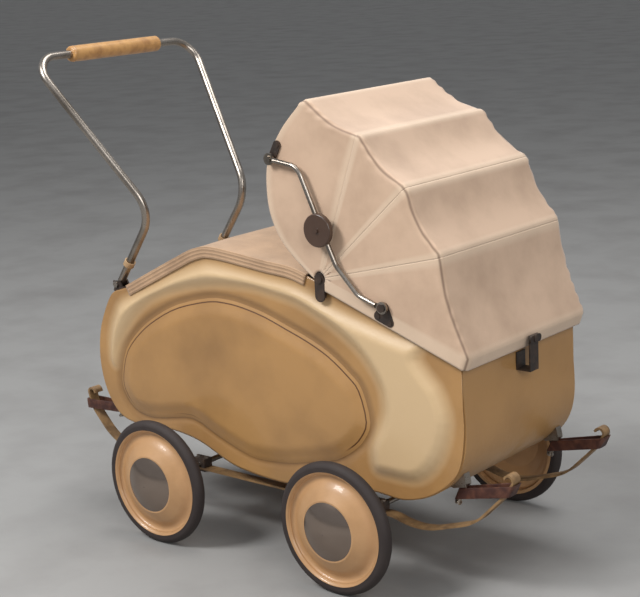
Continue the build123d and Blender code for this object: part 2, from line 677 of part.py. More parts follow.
with BuildPart() as all_brackets:
    for bracket in strap_brackets:
        add(bracket)
save_both(all_brackets.part, "strap_brackets")

# ---------------------------------------------------------------- hood bows
HOOD_TOP_RADIUS = 22.0
BASE_CORNER_RADIUS = 6.0
# outer faces of the bows' flat arms, stacked side by side on the pivot pin
BOW_OUT_Y = {"base_bow": BODY_Y + BOW_THICKNESS}
BOW_OUT_Y["front_bow"] = BOW_OUT_Y["base_bow"] + BOW_GAP + BOW_THICKNESS
BOW_OUT_Y["bow_2"] = BODY_Y - BOW_GAP
BOW_OUT_Y["bow_3"] = BOW_OUT_Y["bow_2"] - BOW_GAP - BOW_THICKNESS
BOW_OUT_Y["bow_4"] = BOW_OUT_Y["bow_3"] - BOW_GAP - BOW_THICKNESS
BASE_BOW_DEPTH = 12.0
BASE_BOW_RISE = 3.0
PIVOT_FIT = 0.05
EYE_RADIUS = 8.0
# the hood's front edge on each side, in shares of the front bow's reach from the pivot
FRONT_EDGE = [(0.004, -0.039), (-0.152, 0.078), (-0.273, 0.195), (-0.346, 0.338), (-0.364, 0.506),
              (-0.338, 0.654), (-0.229, 0.831), (-0.061, 0.998)]
front_reach = BOW_RADII["front_bow"]

with BuildLine() as front_edge:
    Spline(*[(HOOD_PIVOT[0] + across * front_reach, HOOD_PIVOT[1] + up * front_reach)
             for across, up in FRONT_EDGE])


def bow_plane(angle, aside):
    """The plane of a bow: X' runs across the pram and Y' away from the pivot."""
    place = polar(0, angle, aside)
    ray = radians(angle)
    return Plane(origin=(place[0], 0, place[1]), x_dir=(0, 1, 0), z_dir=(sin(ray), 0, -cos(ray)))


def bow_outline(out_y, reach, corner):
    """Half a rounded frame: two arms and the hoop that joins them."""
    with BuildSketch() as frame:
        for grow, mode in ((0, Mode.ADD), (-BOW_THICKNESS, Mode.SUBTRACT)):
            with BuildSketch(mode=Mode.PRIVATE) as slab:
                RectangleRounded(2 * (out_y + grow), 2 * (reach + grow), corner + grow)
            add(slab.sketch, mode=mode)
        with Locations((0, -reach)):
            Rectangle(2 * out_y + 2, 2 * reach, mode=Mode.SUBTRACT)
    return frame.sketch_local


for name in ("bow_4", "bow_3", "bow_2", "base_bow"):
    out_y = BOW_OUT_Y[name]
    is_base = name == "base_bow"
    rise = BASE_BOW_RISE if is_base else BOW_WIDTH / 2
    depth = BASE_BOW_DEPTH if is_base else BOW_WIDTH / 2
    hole = PIVOT_DIAMETER / 2 + (0 if is_base else PIVOT_FIT)
    with BuildPart() as bow:
        with BuildSketch(bow_plane(BOW_ANGLES[name], rise)):
            add(bow_outline(out_y, BOW_RADII[name], BASE_CORNER_RADIUS if is_base else HOOD_TOP_RADIUS))
        extrude(amount=rise + depth)
        for near in (out_y - BOW_THICKNESS, -out_y):
            with BuildSketch(side_plane(near)):
                with Locations(HOOD_PIVOT):
                    Circle(EYE_RADIUS)
            extrude(amount=BOW_THICKNESS)
        with BuildSketch(side_plane(-out_y)):
            with Locations(HOOD_PIVOT):
                Circle(hole)
            if is_base:
                with Locations(*rivet_places):
                    Circle(RIVET_DIAMETER / 2)
        extrude(amount=2 * out_y, mode=Mode.SUBTRACT)
    save(bow.part, name)

front_y = BOW_OUT_Y["front_bow"]
EDGE_INSET = 1.0
with BuildPart() as front_bow:
    with BuildSketch(side_plane(-front_y)):
        add(band(front_edge, -EDGE_INSET, -EDGE_INSET - BOW_WIDTH))
        with Locations(HOOD_PIVOT):
            Circle(EYE_RADIUS)
            Circle(PIVOT_DIAMETER / 2 + PIVOT_FIT, mode=Mode.SUBTRACT)
    extrude(amount=2 * front_y)
    with BuildSketch(Plane.YZ.offset(HOOD_PIVOT[0] - front_reach)):
        with Locations((0, HOOD_PIVOT[1])):
            with BuildSketch(mode=Mode.PRIVATE) as arch:
                RectangleRounded(2 * front_y, 2 * front_reach, HOOD_TOP_RADIUS)
            add(arch.sketch)
        with Locations((0, HOOD_PIVOT[1])):
            with BuildSketch(mode=Mode.PRIVATE) as arch_inside:
                RectangleRounded(2 * (front_y - BOW_THICKNESS), 2 * (front_reach - BOW_THICKNESS),
                                 HOOD_TOP_RADIUS - BOW_THICKNESS)
            add(arch_inside.sketch, mode=Mode.SUBTRACT)
    extrude(amount=2 * front_reach, mode=Mode.INTERSECT)
save(front_bow.part, "front_bow")

with BuildPart() as base_bow_rivets:
    for side in SIDES.values():
        shank_from = PANEL_Y if side > 0 else -BOW_OUT_Y["base_bow"]
        head_from = BOW_OUT_Y["base_bow"] if side > 0 else -BOW_OUT_Y["base_bow"] - BOLT_HEAD_HEIGHT / 2
        for start, radius, depth in ((shank_from, RIVET_DIAMETER / 2, PANEL_THICKNESS + BOW_THICKNESS),
                                     (head_from, RIVET_DIAMETER * 0.8, BOLT_HEAD_HEIGHT / 2)):
            with BuildSketch(side_plane(start)):
                with Locations(*rivet_places):
                    Circle(radius)
            extrude(amount=depth)
save(base_bow_rivets.part, "base_bow_rivets")

# ---------------------------------------------------------------- hood cloth
CLOTH_IN_Y = BOW_OUT_Y["front_bow"] + CLOTH_CLEARANCE
CLOTH_OUT_Y = CLOTH_IN_Y + HOOD_CLOTH
CLOTH_LIFT = 0.4
SCALLOP_DEPTH = 7.0
GORE_GAP = 0.15
PIVOT_HOLE = 9.5
STUD_DIAMETER = 5.0
STAY_AT = 0.6725
STAY_STUD_AT = 0.745
UPPER_STAY_SHARE = 0.48
LOWER_PIN = (108.3, 12.0)
LOWER_STUDS = ((102.0, -4.0), (122.0, -4.0))
bow_order = ["front_bow", "bow_2", "bow_3", "bow_4", "base_bow"]
stay_top = beside(front_edge, -EDGE_INSET - BOW_WIDTH / 2, STAY_AT, STAY_STUD_AT)[0]
stay_stud = beside(front_edge, -EDGE_INSET - BOW_WIDTH / 2, STAY_AT, STAY_STUD_AT)[-1]
base_angle = BOW_ANGLES["base_bow"]
stay_foot = polar(LOWER_PIN[0], base_angle, LOWER_PIN[1])
foot_studs = [polar(radius, base_angle, aside) for radius, aside in LOWER_STUDS]


def seam(upper, lower, lift, foot_aside, over):
    """The scalloped seam of a gore, from its upper bow down to its lower one."""
    half = BOW_WIDTH / 2 + 0.5
    top_reach, low_reach = BOW_RADII[upper] + lift, BOW_RADII[lower] + lift
    top_angle, low_angle = BOW_ANGLES[upper], BOW_ANGLES[lower]
    dip_from = polar(top_reach, top_angle, -half)
    dip_to = polar(low_reach, low_angle, half)
    chord = Vector(*dip_to) - Vector(*dip_from)
    inwards = Vector(chord.Y, -chord.X).normalized() * SCALLOP_DEPTH
    middle = Vector(*dip_from) + chord * 0.5 + inwards
    with BuildLine() as edge:
        Line(polar(top_reach, top_angle, over - GORE_GAP), dip_from)
        ThreePointArc(dip_from, tuple(middle)[:2], dip_to)
        Line(dip_to, polar(low_reach, low_angle, foot_aside))
    return edge.line


holes = {"hood_gore_1": [stay_top, stay_stud], "hood_gore_4": foot_studs}
for number, (upper, lower) in enumerate(zip(bow_order[:-1], bow_order[1:]), 1):
    is_last = lower == "base_bow"
    foot_aside = -BASE_BOW_DEPTH if is_last else GORE_GAP
    with BuildPart() as gore:
        with BuildSketch(side_plane(-CLOTH_OUT_Y)):
            with BuildLine():
                outer_seam = add(seam(upper, lower, CLOTH_LIFT + HOOD_CLOTH, foot_aside, 0))
                seam_end = polar(BOW_RADII[lower] + CLOTH_LIFT + HOOD_CLOTH, BOW_ANGLES[lower], foot_aside)
                seam_start = polar(BOW_RADII[upper] + CLOTH_LIFT + HOOD_CLOTH, BOW_ANGLES[upper], -GORE_GAP)
                low_end = polar(0, BOW_ANGLES[lower], foot_aside)
                if number == 1:
                    add(front_edge.line)
                    Line(front_edge.line @ 1, seam_start)
                    Polyline(seam_end, low_end, front_edge.line @ 0)
                else:
                    Polyline(seam_end, low_end, polar(0, BOW_ANGLES[upper], -GORE_GAP), seam_start)
            make_face()
        extrude(amount=2 * CLOTH_OUT_Y)
        with BuildSketch(side_plane(-CLOTH_IN_Y)):
            with BuildLine():
                beyond = HOOD_TOP_RADIUS
                add(seam(upper, lower, CLOTH_LIFT, foot_aside - beyond, beyond + GORE_GAP))
                reach_up = BOW_RADII[upper] + CLOTH_LIFT
                reach_low = BOW_RADII[lower] + CLOTH_LIFT
                clear_of_front = [polar(-4 * beyond, BOW_ANGLES[upper], 4 * beyond),
                                  polar(reach_up, BOW_ANGLES[upper], 6 * beyond)]
                past_ray = [polar(-beyond, BOW_ANGLES[upper], beyond)]
                Polyline(polar(reach_low, BOW_ANGLES[lower], foot_aside - beyond),
                         polar(-beyond, BOW_ANGLES[lower], foot_aside - beyond),
                         *(clear_of_front if number == 1 else past_ray),
                         polar(reach_up, BOW_ANGLES[upper], beyond))
            make_face()
        extrude(amount=2 * CLOTH_IN_Y, mode=Mode.SUBTRACT)
        with BuildSketch(side_plane(-CLOTH_OUT_Y)):
            with Locations(HOOD_PIVOT):
                Circle(PIVOT_HOLE)
            if f"hood_gore_{number}" in holes:
                with Locations(*holes[f"hood_gore_{number}"]):
                    Circle(STUD_DIAMETER / 2 + CLOTH_CLEARANCE)
        extrude(amount=2 * CLOTH_OUT_Y, mode=Mode.SUBTRACT)
    save(gore.part, f"hood_gore_{number}")

# ---------------------------------------------------------------- hood pivots, stays and their brackets
PLATE_THICKNESS = 2.0
PLATE_Y = CLOTH_OUT_Y + CLOTH_CLEARANCE
PLATE_OUT_Y = PLATE_Y + PLATE_THICKNESS
PLATE_FOOT_DROP = 23.0
PIN_HEAD = 2.0
STAY_Y = CLOTH_OUT_Y + STAY_PLANE_GAP
STAY_IN_Y = STAY_Y - STAY_DIAMETER / 2
STAY_OUT_Y = STAY_Y + STAY_DIAMETER / 2
STAY_SPLIT = 0.1
PIN_FIT = 0.05
STAY_PIN = 6.0

stay_knuckle = tuple(Vector(*stay_top) + (Vector(*stay_foot) - Vector(*stay_top)) * UPPER_STAY_SHARE)[:2]
# the S of each stay, in shares of its own chord: along it and square to it
UPPER_STAY_BEND = [(0.33, 0.25)]
LOWER_STAY_BEND = [(0.36, -0.125), (0.74, -0.13)]
STAY_BEND_RADIUS = 22.0


def stay_points(start, end, bends):
    """The centre line of a stay through its bends."""
    start, end = Vector(*start), Vector(*end)
    chord = end - start
    square = Vector(-chord.Y, chord.X)
    middle = [start + chord * along + square * off for along, off in bends]
    return [tuple(point)[:2] for point in [start, *middle, end]]


def disc(near, place, radius, depth):
    """A round plate on the right-hand side, as a part of its own."""
    with BuildPart() as plate:
        with BuildSketch(side_plane(near)):
            with Locations(place):
                Circle(radius)
        extrude(amount=depth)
    return plate.part


# an eye stops just short of the round bar's own surface
EYE_SKIM = 0.3
half_depth = STAY_DIAMETER / 2 - STAY_SPLIT
for name, start, end, bends in (("upper_stay", stay_top, stay_knuckle, UPPER_STAY_BEND),
                                ("lower_stay", stay_knuckle, stay_foot, LOWER_STAY_BEND)):
    is_upper = name == "upper_stay"
    knuckle_layer = STAY_Y + STAY_SPLIT if is_upper else STAY_IN_Y
    other_layer = STAY_IN_Y if is_upper else STAY_Y - STAY_SPLIT
    outer_end = start if is_upper else end
    with BuildPart() as stay:
        with BuildLine(side_plane(STAY_Y)) as stay_path:
            FilletPolyline(*stay_points(start, end, bends), radius=STAY_BEND_RADIUS)
        with BuildSketch(Plane(origin=stay_path.line @ 0, z_dir=stay_path.line % 0)):
            Circle(STAY_DIAMETER / 2)
        sweep(path=stay_path.wires()[0])
        add(disc(other_layer, stay_knuckle, STAY_EYE_RADIUS * 1.5, STAY_DIAMETER / 2 + STAY_SPLIT),
            mode=Mode.SUBTRACT)
        add(disc(STAY_Y - STAY_SPLIT, outer_end, STAY_EYE_RADIUS * 1.2, STAY_DIAMETER), mode=Mode.SUBTRACT)
        knuckle_near = knuckle_layer if is_upper else knuckle_layer + EYE_SKIM
        add(disc(knuckle_near, stay_knuckle, STAY_EYE_RADIUS, half_depth - EYE_SKIM))
        add(disc(STAY_IN_Y + EYE_SKIM, outer_end, STAY_EYE_RADIUS, half_depth - EYE_SKIM))
        knuckle_fit = 0 if is_upper else PIN_FIT
        add(disc(STAY_IN_Y, stay_knuckle, STAY_PIN / 2 + knuckle_fit, STAY_DIAMETER), mode=Mode.SUBTRACT)
        if is_upper:
            add(disc(STAY_IN_Y + half_depth, outer_end, STAY_PIN * 0.75, PIN_HEAD))
        else:
            add(disc(STAY_IN_Y, outer_end, STAY_PIN / 2 + PIN_FIT, STAY_DIAMETER), mode=Mode.SUBTRACT)
    save_pair(stay.part, name)

with BuildPart() as knuckle_disc:
    add(disc(STAY_OUT_Y, stay_knuckle, KNUCKLE_RADIUS, KNUCKLE_THICKNESS))
    fillet(knuckle_disc.edges().filter_by(GeomType.CIRCLE).sort_by(Axis.Y)[0], 2)
    add(disc(STAY_IN_Y - PIN_HEAD, stay_knuckle, STAY_PIN / 2, STAY_DIAMETER + PIN_HEAD))
    add(disc(STAY_IN_Y - PIN_HEAD, stay_knuckle, STAY_PIN * 0.8, PIN_HEAD - STAY_SPLIT))
    add(disc(STAY_OUT_Y + KNUCKLE_THICKNESS, stay_knuckle, STAY_PIN / 2, PIN_HEAD))
save_pair(knuckle_disc.part, "knuckle_disc")

bracket_studs_from = BOW_OUT_Y["front_bow"]
with BuildPart() as stay_top_bracket:
    with BuildSketch(side_plane(PLATE_Y)):
        with BuildSketch(mode=Mode.PRIVATE) as top_plate:
            with Locations(stay_top, stay_stud):
                Circle(STAY_EYE_RADIUS - 2)
            make_hull()
        add(top_plate.sketch)
    extrude(amount=PLATE_THICKNESS)
    for place in (stay_top, stay_stud):
        add(disc(bracket_studs_from, place, STUD_DIAMETER / 2, PLATE_Y - bracket_studs_from))
    add(disc(PLATE_OUT_Y, stay_top, STAY_PIN / 2, STAY_IN_Y - CLOTH_CLEARANCE - PLATE_OUT_Y))
    add(disc(PLATE_OUT_Y, stay_stud, STAY_PIN * 0.6, PIN_HEAD / 2))
save_both(stay_top_bracket.part, "stay_top_brackets")

base_out_y = BOW_OUT_Y["base_bow"]
with BuildPart() as stay_foot_bracket:
    with BuildSketch(side_plane(PLATE_Y)):
        with BuildSketch(mode=Mode.PRIVATE) as foot_plate:
            with Locations(stay_foot, *foot_studs):
                Circle(STAY_EYE_RADIUS - 2)
            make_hull()
        add(foot_plate.sketch)
    extrude(amount=PLATE_THICKNESS)
    for place in foot_studs:
        add(disc(base_out_y, place, STUD_DIAMETER / 2, PLATE_Y - base_out_y))
        add(disc(PLATE_OUT_Y, place, STAY_PIN * 0.6, PIN_HEAD / 2))
    add(disc(PLATE_OUT_Y, stay_foot, STAY_PIN / 2, STAY_Y - PLATE_OUT_Y))
    add(disc(STAY_Y, stay_foot, STAY_PIN * 0.9, PIN_HEAD))
save_both(stay_foot_bracket.part, "stay_foot_brackets")

plate_foot = (HOOD_PIVOT[0], HOOD_PIVOT[1] - PLATE_FOOT_DROP)
pin_inner_y = BOW_OUT_Y["bow_4"] - BOW_THICKNESS - BOW_GAP
with BuildPart() as hood_pivot_plate:
    with BuildSketch(side_plane(PLATE_Y)):
        with BuildSketch(mode=Mode.PRIVATE) as pivot_plate:
            with Locations(HOOD_PIVOT, plate_foot):
                Circle(EYE_RADIUS)
            make_hull()
        add(pivot_plate.sketch)
    extrude(amount=PLATE_THICKNESS)
    add(disc(BODY_Y, plate_foot, EYE_RADIUS - 3, PLATE_Y - BODY_Y))
    add(disc(pin_inner_y, HOOD_PIVOT, PIVOT_DIAMETER / 2, PLATE_Y - pin_inner_y))
    add(disc(pin_inner_y - PIN_HEAD, HOOD_PIVOT, PIVOT_DIAMETER * 0.9, PIN_HEAD))
    add(disc(PLATE_OUT_Y, HOOD_PIVOT, PIVOT_DIAMETER * 0.9, PIN_HEAD))
save_both(hood_pivot_plate.part, "hood_pivot_plates")

# ---------------------------------------------------------------- catch at the foot of the hood
CATCH_WIDTH = 20.0
CATCH_SEAT = (0.962, 0.985)
CATCH_STANDOFF = 5.0
CATCH_RISE = 43.0
BUTTON_LENGTH = 26.0
BUTTON_WIDTH = 10.0
BUTTON_THICKNESS = 3.0
catch_low = beside(underside, 0, *CATCH_SEAT)[0]
cloth_front_x = polar(BOW_RADII["base_bow"] + CLOTH_LIFT + HOOD_CLOTH, base_angle, 2 * BASE_BOW_RISE)[0]
catch_x = cloth_front_x + CATCH_STANDOFF
button_z = catch_low[1] + CATCH_RISE

with BuildPart() as catch_plate:
    with BuildSketch(side_plane(-CATCH_WIDTH / 2)):
        with BuildLine():
            Polyline((catch_low[0] - 4, catch_low[1]), (catch_x + PLATE_THICKNESS, catch_low[1]),
                     (catch_x + PLATE_THICKNESS, button_z + BUTTON_WIDTH / 2), (catch_x, button_z + BUTTON_WIDTH / 2),
                     (catch_x, catch_low[1] + PLATE_THICKNESS), (catch_low[0] - 4, catch_low[1] + PLATE_THICKNESS),
                     close=True)
        make_face()
        add(body_outline.sketch_local, mode=Mode.SUBTRACT)
        add(band(underside, -PLATE_THICKNESS, 0, *CATCH_SEAT))
        add(body_outline.sketch_local, mode=Mode.SUBTRACT)
    extrude(amount=CATCH_WIDTH)
    with BuildSketch(Plane.YZ.offset(catch_x + PLATE_THICKNESS)):
        with Locations((0, button_z)):
            Circle(STAY_PIN / 2)
    extrude(amount=BUTTON_THICKNESS + 2 * PIN_FIT)
    with BuildSketch(Plane.YZ.offset(catch_x + PLATE_THICKNESS + BUTTON_THICKNESS + 2 * PIN_FIT)):
        with Locations((0, button_z)):
            Circle(STAY_PIN * 0.8)
    extrude(amount=PIN_HEAD / 2)
save(catch_plate.part, "catch_plate")

with BuildPart() as catch_button:
    with BuildSketch(Plane.YZ.offset(catch_x + PLATE_THICKNESS + PIN_FIT)):
        with Locations((0, button_z)):
            SlotOverall(BUTTON_LENGTH, BUTTON_WIDTH)
            Circle(STAY_PIN / 2 + PIN_FIT, mode=Mode.SUBTRACT)
    extrude(amount=BUTTON_THICKNESS)
save(catch_button.part, "catch_button")

# ---------------------------------------------------------------- leather loops that hold the apron to the handle
LOOP_HEIGHT = 9.0
LOOP_WALL = 2.0
LOOP_AT_Z = 371.0
loop_x = elbow_x - HANDLE_FOOT_SLOPE * (HANDLE_ELBOW_Z - LOOP_AT_Z)
leg_heading = Vector(HANDLE_FOOT_SLOPE, 0, 1).normalized()
with BuildPart() as apron_loops:
    for side in SIDES.values():
        with BuildSketch(Plane(origin=(loop_x, side * foot_y, LOOP_AT_Z), x_dir=(0, 1, 0), z_dir=leg_heading)):
            Circle(TUBE_DIAMETER / 2 + CLOTH_CLEARANCE + LOOP_WALL)
            Circle(TUBE_DIAMETER / 2 + CLOTH_CLEARANCE, mode=Mode.SUBTRACT)
        extrude(amount=LOOP_HEIGHT)
save(apron_loops.part, "apron_loops")
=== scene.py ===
import json
import math

import bmesh
import bpy
from mathutils import Matrix, Vector


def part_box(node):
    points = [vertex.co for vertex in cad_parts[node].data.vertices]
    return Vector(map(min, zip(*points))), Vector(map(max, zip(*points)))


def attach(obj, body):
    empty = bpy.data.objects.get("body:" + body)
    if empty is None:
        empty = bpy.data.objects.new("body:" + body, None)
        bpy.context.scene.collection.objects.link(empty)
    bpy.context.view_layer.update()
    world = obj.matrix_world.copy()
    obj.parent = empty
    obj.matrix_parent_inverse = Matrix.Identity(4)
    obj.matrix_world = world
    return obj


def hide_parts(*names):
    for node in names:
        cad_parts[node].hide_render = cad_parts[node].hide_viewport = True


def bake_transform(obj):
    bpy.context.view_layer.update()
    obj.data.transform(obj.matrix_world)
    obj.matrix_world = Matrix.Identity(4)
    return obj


bl_info = {
    "name": "Doll stroller finish",
    "version": (1, 0, 0),
    "blender": (4, 5, 0),
    "location": "View3D > Sidebar > Stroller",
    "description": "Cloth, leather, paint and plating for a coach-built doll stroller",
    "category": "Object",
}

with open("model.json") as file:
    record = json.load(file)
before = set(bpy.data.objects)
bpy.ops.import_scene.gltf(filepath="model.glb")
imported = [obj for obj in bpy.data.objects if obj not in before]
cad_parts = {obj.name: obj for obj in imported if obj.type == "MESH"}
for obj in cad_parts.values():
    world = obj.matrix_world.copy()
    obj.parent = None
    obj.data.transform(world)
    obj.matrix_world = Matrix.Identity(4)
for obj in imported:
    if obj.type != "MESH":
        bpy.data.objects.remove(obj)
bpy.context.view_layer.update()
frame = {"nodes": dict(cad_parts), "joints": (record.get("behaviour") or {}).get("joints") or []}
MM = 0.001

# ------------------------------------------------------------------ places taken from the frame
panel_low, panel_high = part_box("side_panel_right")
JOINTS = {joint["name"]: joint for joint in frame["joints"]}
PIVOT = Vector(JOINTS["hood_fold"]["pos_m"])
BODY_X = panel_low.x
BODY_LONG = panel_high.x - panel_low.x
BODY_Z = panel_low.z
BODY_TALL = panel_high.z - panel_low.z
# how far the moulded sides and the hood's side cloth stand from the middle
FACE_Y = 0.132
CLOTH_Y = 0.138

# outlines of the side, in shares of the body's length and height
UNDERSIDE = [(0.092, 0.756), (0.054, 0.725), (0.0195, 0.606), (0.003, 0.497), (0.0, 0.369), (0.015, 0.247),
             (0.045, 0.159), (0.086, 0.122), (0.155, 0.118), (0.222, 0.125), (0.300, 0.100), (0.387, 0.031),
             (0.449, 0.009), (0.511, 0.0), (0.553, 0.003), (0.640, 0.040), (0.715, 0.066), (0.790, 0.058),
             (0.850, 0.053), (0.910, 0.091), (0.962, 0.170), (0.987, 0.253), (0.997, 0.406), (0.992, 0.572),
             (0.995, 0.672)]
TOP_EDGE = [(0.995, 0.672), (0.960, 0.691), (0.902, 0.728), (0.839, 0.791), (0.698, 0.881), (0.600, 0.953),
            (0.515, 0.972), (0.377, 1.0), (0.320, 0.984), (0.260, 0.928), (0.192, 0.859), (0.092, 0.756)]
KIDNEY = [(0.351, 0.775), (0.260, 0.725), (0.191, 0.656), (0.134, 0.575), (0.086, 0.469), (0.066, 0.347),
          (0.069, 0.266), (0.099, 0.191), (0.147, 0.166), (0.201, 0.178), (0.282, 0.203), (0.357, 0.144),
          (0.443, 0.088), (0.497, 0.084), (0.557, 0.097), (0.623, 0.128), (0.682, 0.159), (0.727, 0.216),
          (0.755, 0.272), (0.772, 0.353), (0.755, 0.487), (0.725, 0.550), (0.677, 0.619), (0.623, 0.669),
          (0.566, 0.709), (0.509, 0.747), (0.450, 0.772), (0.402, 0.781)]
CREAM = [(0.838, 0.744), (0.901, 0.719), (0.900, 0.660), (0.928, 0.594), (0.950, 0.541), (0.968, 0.419),
         (0.944, 0.259), (0.892, 0.153), (0.824, 0.141), (0.780, 0.155), (0.777, 0.263), (0.802, 0.372),
         (0.808, 0.441), (0.799, 0.528), (0.760, 0.634), (0.707, 0.713), (0.653, 0.769), (0.599, 0.813),
         (0.542, 0.834), (0.483, 0.850), (0.423, 0.850), (0.360, 0.838), (0.296, 0.813), (0.230, 0.772),
         (0.174, 0.722), (0.131, 0.656), (0.092, 0.563), (0.066, 0.475), (0.050, 0.384), (0.038, 0.400),
         (0.036, 0.444), (0.041, 0.531), (0.060, 0.628), (0.090, 0.700), (0.192, 0.795), (0.260, 0.862),
         (0.330, 0.915), (0.377, 0.928), (0.515, 0.900), (0.600, 0.880), (0.700, 0.815)]
# the hood's front edge: how far across and up from the pivot, in shares of the front bow's reach
FRONT_EDGE = [(0.004, -0.039), (-0.152, 0.078), (-0.273, 0.195), (-0.346, 0.338), (-0.364, 0.506),
              (-0.338, 0.654), (-0.229, 0.831), (-0.061, 0.998)]
# each bow's reach from the pivot in millimetres, and its angle above level in degrees
BOWS = {"front_bow": (231.0, 93.5), "bow_2": (201.5, 69.7), "bow_3": (189.8, 42.0), "bow_4": (195.5, 13.5),
        "base_bow": (241.0, -19.6)}
BOW_HALF = 1.9
# the two rows of piping stand this far each side of the hood's corner, in millimetres
PIPING_ROWS = (-2.6, 2.6)
PIPING_WIDTH = 1.3
PIPING_HEIGHT = 1.5 * MM
# the groove round the pillow, and the walls of the moulded sides and the apron's cloth
GROOVE_DEPTH = 2.4 * MM
PANEL_WALL = 2.4 * MM
APRON_CLOTH = 1.8 * MM
APRON_HEM = 16.0 * MM
APRON_HALF_WIDTH = 134.3 * MM
APRON_PIPING_ROWS = (2.5, 7.5, 12.5)
# the camera's lens and sensor in millimetres
FOCAL_LENGTH = 89.98875
SENSOR_WIDTH = 36.0


def body_place(share):
    """A side-view place from shares of the body's length and height."""
    return Vector((BODY_X + share[0] * BODY_LONG, BODY_Z + share[1] * BODY_TALL))


def smooth_line(points, steps, closed=False):
    """Places along a soft curve through the points."""
    count = len(points)
    spans = count if closed else count - 1
    made = []
    for span in range(spans):
        near = [points[(span + shift) % count if closed else min(max(span + shift, 0), count - 1)]
                for shift in (-1, 0, 1, 2)]
        for step in range(steps):
            t = step / steps
            made.append(0.5 * ((2 * near[1]) + (near[2] - near[0]) * t
                               + (2 * near[0] - 5 * near[1] + 4 * near[2] - near[3]) * t * t
                               + (3 * near[1] - near[0] - 3 * near[2] + near[3]) * t ** 3))
    if not closed:
        made.append(points[-1])
    return made


def ease(value):
    """A soft step from 0 to 1."""
    value = min(max(value, 0.0), 1.0)
    return value * value * (3 - 2 * value)


def inside_depth(place, outline):
    """How deep a place lies inside an outline, negative outside it."""
    nearest = 1e9
    inside = False
    for first, second in zip(outline, outline[1:] + outline[:1]):
        run = second - first
        along = min(max((place - first).dot(run) / max(run.length_squared, 1e-12), 0), 1)
        nearest = min(nearest, (place - first - run * along).length)
        if (first.y > place.y) != (second.y > place.y):
            if place.x < run.x * (place.y - first.y) / run.y + first.x:
                inside = not inside
    return nearest if inside else -nearest


# ------------------------------------------------------------------ shaders
def linear(hex_code):
    """An sRGB hex value as linear colour."""
    channels = [int(hex_code[place:place + 2], 16) / 255 for place in (0, 2, 4)]
    return [c / 12.92 if c <= 0.04045 else ((c + 0.055) / 1.055) ** 2.4 for c in channels] + [1.0]


def node(tree, kind, settings=None, values=None, links=None):
    """Add one node with its settings, socket values and incoming links."""
    made = tree.nodes.new(kind)
    for name, value in (settings or {}).items():
        setattr(made, name, value)
    for name, value in (values or {}).items():
        made.inputs[name].default_value = value
    for name, source in (links or {}).items():
        tree.links.new(source, made.inputs[name])
    return made


def blend_colours(tree, share, under, over):
    """Lay one colour over another by a share; the lower colour may be a socket or an sRGB hex value."""
    mix = node(tree, "ShaderNodeMix", {"data_type": "RGBA"})
    if isinstance(under, str):
        mix.inputs[6].default_value = linear(under)
    else:
        tree.links.new(under, mix.inputs[6])
    mix.inputs[7].default_value = linear(over)
    tree.links.new(share, mix.inputs[0])
    return mix.outputs[2]


def finish_of(name, base, worn, roughness, rough_spread, grain_mm, bump, metallic=0.0, coat=0.0, sheen=0.0,
              stretch=(1, 1, 1), patch_mm=60.0, wear=0.35):
    """A material whose colour, roughness and relief vary at a real grain size and over larger patches."""
    material = bpy.data.materials.new(name)
    material.use_nodes = True
    tree = material.node_tree
    shader = tree.nodes["Principled BSDF"]
    place = node(tree, "ShaderNodeTexCoord").outputs["Object"]
    turned = node(tree, "ShaderNodeMapping", values={"Scale": stretch}, links={"Vector": place})
    grain = node(tree, "ShaderNodeTexNoise",
                 values={"Scale": 1 / (grain_mm * MM), "Detail": 5.0, "Roughness": 0.62},
                 links={"Vector": turned.outputs["Vector"]})
    patch = node(tree, "ShaderNodeTexNoise",
                 values={"Scale": 1 / (patch_mm * MM), "Detail": 4.0, "Roughness": 0.55},
                 links={"Vector": place})
    shade = node(tree, "ShaderNodeMapRange",
                 values={"From Min": 0.42, "From Max": 0.72, "To Min": 0.0, "To Max": wear},
                 links={"Value": patch.outputs["Fac"]})
    colour = blend_colours(tree, shade.outputs["Result"], base, worn)
    tree.links.new(colour, shader.inputs["Base Color"])
    rough = node(tree, "ShaderNodeMapRange",
                 values={"To Min": roughness - rough_spread, "To Max": roughness + rough_spread},
                 links={"Value": grain.outputs["Fac"]})
    tree.links.new(rough.outputs["Result"], shader.inputs["Roughness"])
    relief = node(tree, "ShaderNodeBump", values={"Strength": bump, "Distance": grain_mm * MM * 0.3},
                  links={"Height": grain.outputs["Fac"]})
    tree.links.new(relief.outputs["Normal"], shader.inputs["Normal"])
    shader.inputs["Metallic"].default_value = metallic
    shader.inputs["Coat Weight"].default_value = coat
    shader.inputs["Sheen Weight"].default_value = sheen
    return material


